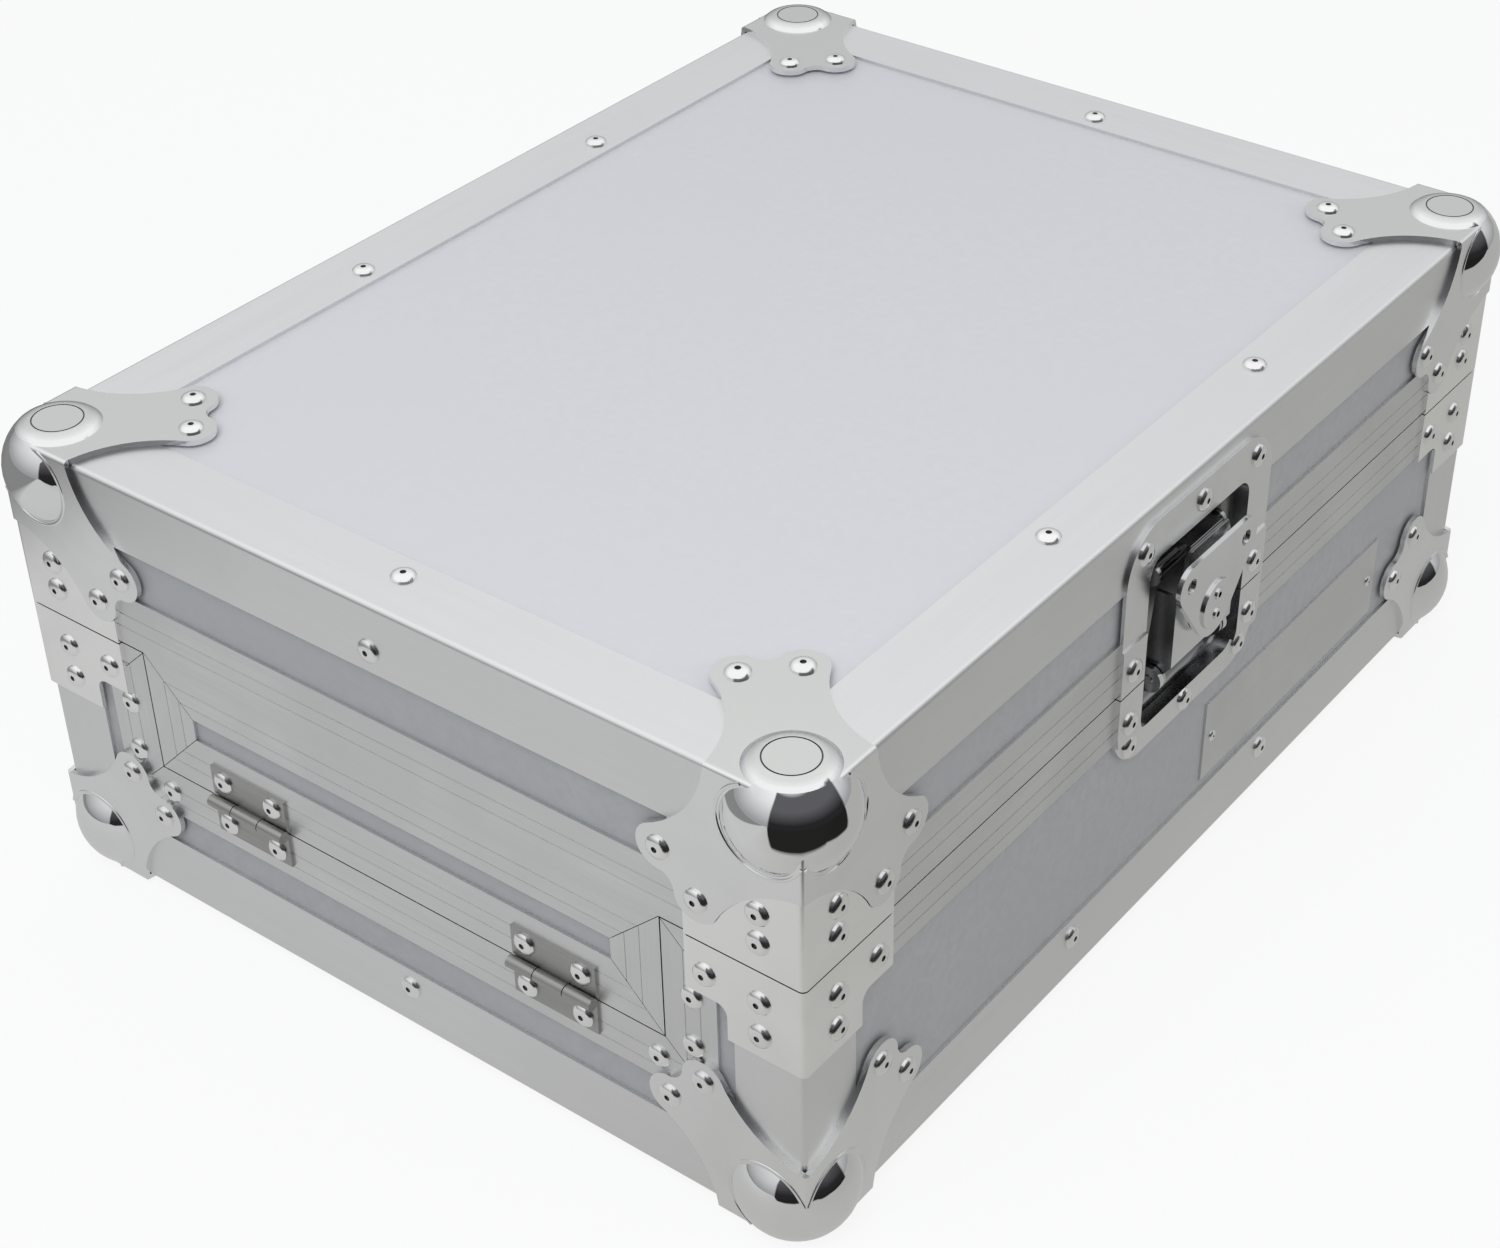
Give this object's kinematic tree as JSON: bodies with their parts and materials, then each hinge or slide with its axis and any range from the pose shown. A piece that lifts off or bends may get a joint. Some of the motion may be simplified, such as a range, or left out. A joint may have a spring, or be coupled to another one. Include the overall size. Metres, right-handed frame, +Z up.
{
  "type": "flight case",
  "caption": "Small flight case with a hinged lid, riveted aluminium edges, chromed ball corners, recessed butterfly latches on the ends and a drop handle.",
  "frame": {"origin": "under the middle of the case, on the plane its ball corners stand on", "axes": "+Z up, +Y to the hinge side, +X to the right end seen from the handle side"},
  "size_m": [0.404, 0.5178, 0.2116],
  "materials": {
    "laminate": "plywood with a grey foil laminate, satin",
    "edge_aluminium": "mill-finish aluminium angle",
    "profile_aluminium": "extruded aluminium, brushed along its length",
    "corner_chrome": "bright chrome plate",
    "brace_nickel": "nickel plate",
    "rivet_steel": "bright blind rivets",
    "hinge_steel": "zinc-plated steel",
    "latch_steel": "satin nickel plate on pressed steel",
    "grip_rubber": "black rubber",
    "label_metal": "blank satin label plate",
    "foam": "dark foam lining"
  },
  "bodies": {
    "base": {"base_bottom_panel": "laminate", "base_front_panel": "laminate", "base_rear_panel": "laminate", "base_left_panel": "laminate", "base_right_panel": "laminate", "base_front_angle": "edge_aluminium", "base_rear_angle": "edge_aluminium", "base_end_angles": "edge_aluminium", "base_corner_angles": "edge_aluminium", "base_front_profile": "profile_aluminium", "base_left_profile": "profile_aluminium", "base_right_profile": "profile_aluminium", "base_rear_profiles": "profile_aluminium", "base_rear_stiles": "profile_aluminium", "base_rear_rail": "profile_aluminium", "base_ball_corners": "corner_chrome", "base_corner_braces": "brace_nickel", "base_rivets": "rivet_steel", "label_plate": "label_metal", "base_foam": "foam", "hinge_base_leaves": "hinge_steel", "hinge_pins": "hinge_steel", "latch_base_dishes": "latch_steel", "latch_pins": "latch_steel", "handle_dish": "latch_steel", "handle_pins": "latch_steel"},
    "lid": {"lid_top_panel": "laminate", "lid_front_panel": "laminate", "lid_rear_panel": "laminate", "lid_left_panel": "laminate", "lid_right_panel": "laminate", "flap_panel": "laminate", "flap_top_rail": "profile_aluminium", "flap_stiles": "profile_aluminium", "flap_bottom_rail": "profile_aluminium", "lid_front_angle": "edge_aluminium", "lid_rear_angle": "edge_aluminium", "lid_end_angles": "edge_aluminium", "lid_corner_angles": "edge_aluminium", "lid_front_profile": "profile_aluminium", "lid_rear_profile": "profile_aluminium", "lid_left_profile": "profile_aluminium", "lid_right_profile": "profile_aluminium", "lid_ball_corners": "corner_chrome", "lid_corner_braces": "brace_nickel", "lid_rivets": "rivet_steel", "lid_foam": "foam", "hinge_lid_leaves": "hinge_steel", "latch_lid_dishes": "latch_steel", "latch_keepers": "latch_steel"},
    "handle": {"handle_bail": "latch_steel", "handle_grip": "grip_rubber"},
    "left_latch_arm": {"left_latch_arm": "latch_steel"},
    "left_latch_claw": {"left_latch_claw": "latch_steel"},
    "left_latch_wing": {"left_latch_hub": "latch_steel", "left_latch_wing": "latch_steel"},
    "right_latch_arm": {"right_latch_arm": "latch_steel"},
    "right_latch_claw": {"right_latch_claw": "latch_steel"},
    "right_latch_wing": {"right_latch_hub": "latch_steel", "right_latch_wing": "latch_steel"}
  },
  "joints": [
    {"name": "lid_hinge", "type": "hinge", "parent": "base", "child": "lid", "pos_m": [0, 0.2531, 0.0735], "axis": [-1, 0, 0], "range_deg": [0, 105]},
    {"name": "handle_swing", "type": "hinge", "parent": "base", "child": "handle", "pos_m": [0, -0.247, 0.0949], "axis": [-1, 0, 0], "range_deg": [0, 90], "stiffness_Nm_per_rad": 0.06, "springref_deg": -14.32},
    {"name": "left_latch_swing", "type": "hinge", "parent": "base", "child": "left_latch_arm", "pos_m": [-0.1875, 0, 0.1208], "axis": [0, -1, 0], "range_deg": [0, 70]},
    {"name": "left_wing_turn", "type": "hinge", "parent": "left_latch_arm", "child": "left_latch_wing", "pos_m": [-0.19, 0, 0.1478], "axis": [-1, 0, 0], "range_deg": [0, 180]},
    {"name": "left_claw_draw", "type": "slide", "parent": "left_latch_arm", "child": "left_latch_claw", "axis": [0, 0, 1], "range_m": [-0.004, 0]},
    {"name": "right_latch_swing", "type": "hinge", "parent": "base", "child": "right_latch_arm", "pos_m": [0.1875, 0, 0.1208], "axis": [0, 1, 0], "range_deg": [0, 70]},
    {"name": "right_wing_turn", "type": "hinge", "parent": "right_latch_arm", "child": "right_latch_wing", "pos_m": [0.19, 0, 0.1478], "axis": [1, 0, 0], "range_deg": [0, 180]},
    {"name": "right_claw_draw", "type": "slide", "parent": "right_latch_arm", "child": "right_latch_claw", "axis": [0, 0, 1], "range_m": [-0.004, 0]}
  ],
  "couplings": [
    {"joint": "left_claw_draw", "follows": "left_wing_turn", "m_per_rad": -0.0012732},
    {"joint": "right_claw_draw", "follows": "right_wing_turn", "m_per_rad": -0.0012732}
  ]
}
